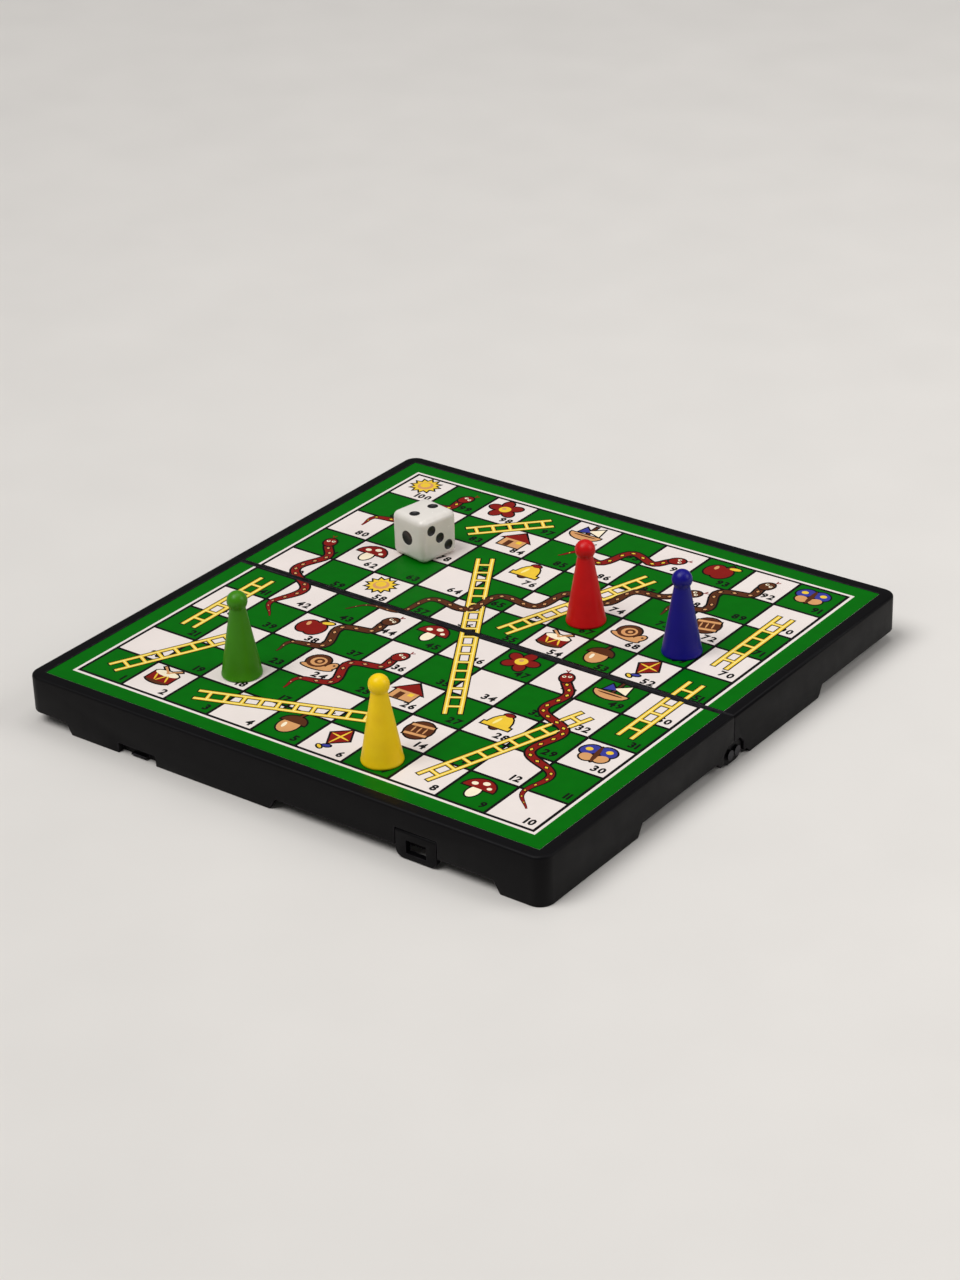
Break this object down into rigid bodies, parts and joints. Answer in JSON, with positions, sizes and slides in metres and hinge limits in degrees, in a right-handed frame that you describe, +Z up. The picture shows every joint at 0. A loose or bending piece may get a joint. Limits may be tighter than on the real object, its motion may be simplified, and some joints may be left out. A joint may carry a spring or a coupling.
{
  "type": "folding snakes and ladders board",
  "caption": "Folding travel board for snakes and ladders: two interlocking black case halves on link hinges, printed playing faces, loop latches, magnetic pawns and a die.",
  "frame": {"origin": "middle of the open board on the table, under the fold, at the level of the deep rims", "axes": "+X to the right of the player along the fold, +Y away from the player, +Z up"},
  "size_m": [0.25, 0.25, 0.0566],
  "materials": {
    "case_plastic": "fine matt grain, black",
    "sheet_steel": "plain tinplate",
    "printed_sheet": "printed and laminated, satin",
    "pin_steel": "bright",
    "green_plastic": "polished",
    "yellow_plastic": "polished",
    "red_plastic": "polished",
    "blue_plastic": "polished",
    "magnet": "sintered ferrite",
    "die_plastic": "polished, ivory white",
    "pip_paint": "paint"
  },
  "bodies": {
    "front_half": {"front_tray": "case_plastic", "front_steel_sheet": "sheet_steel", "front_print_sheet": "printed_sheet", "front_hinge_pins": "pin_steel"},
    "back_half": {"back_tray": "case_plastic", "back_steel_sheet": "sheet_steel", "back_print_sheet": "printed_sheet", "back_hinge_pins": "pin_steel"},
    "hinge_links": {"left_hinge_link": "case_plastic", "right_hinge_link": "case_plastic"},
    "front_latch": {"front_latch_loop": "case_plastic"},
    "back_latch": {"back_latch_loop": "case_plastic"},
    "green_piece": {"green_pawn": "green_plastic", "green_pawn_magnet": "magnet"},
    "yellow_piece": {"yellow_pawn": "yellow_plastic", "yellow_pawn_magnet": "magnet"},
    "red_piece": {"red_pawn": "red_plastic", "red_pawn_magnet": "magnet"},
    "blue_piece": {"blue_pawn": "blue_plastic", "blue_pawn_magnet": "magnet"},
    "die_piece": {"die": "die_plastic", "die_pips": "pip_paint"}
  },
  "joints": [
    {"name": "fold_front_pivot", "type": "hinge", "parent": "front_half", "child": "hinge_links", "pos_m": [0, -0.0024, 0.0047], "axis": [-1, 0, 0], "range_deg": [0, 90]},
    {"name": "fold_back_pivot", "type": "hinge", "parent": "hinge_links", "child": "back_half", "pos_m": [0, 0.0024, 0.0047], "axis": [-1, 0, 0], "range_deg": [0, 90]},
    {"name": "front_latch_swing", "type": "hinge", "parent": "front_half", "child": "front_latch", "pos_m": [0.068, -0.1236, 0.0107], "axis": [-1, 0, 0], "range_deg": [0, 95]},
    {"name": "back_latch_swing", "type": "hinge", "parent": "back_half", "child": "back_latch", "pos_m": [-0.068, 0.1236, 0.0107], "axis": [1, 0, 0], "range_deg": [0, 95]},
    {"name": "green_lift", "type": "slide", "parent": "front_half", "child": "green_piece", "axis": [0, 0, 1], "range_m": [0, 0.05]},
    {"name": "yellow_lift", "type": "slide", "parent": "front_half", "child": "yellow_piece", "axis": [0, 0, 1], "range_m": [0, 0.05]},
    {"name": "red_lift", "type": "slide", "parent": "back_half", "child": "red_piece", "axis": [0, 0, 1], "range_m": [0, 0.05]},
    {"name": "blue_lift", "type": "slide", "parent": "back_half", "child": "blue_piece", "axis": [0, 0, 1], "range_m": [0, 0.05]},
    {"name": "die_lift", "type": "slide", "parent": "back_half", "child": "die_piece", "axis": [0, 0, 1], "range_m": [0, 0.05]}
  ],
  "couplings": [
    {"joint": "fold_back_pivot", "follows": "fold_front_pivot", "ratio": 1}
  ]
}
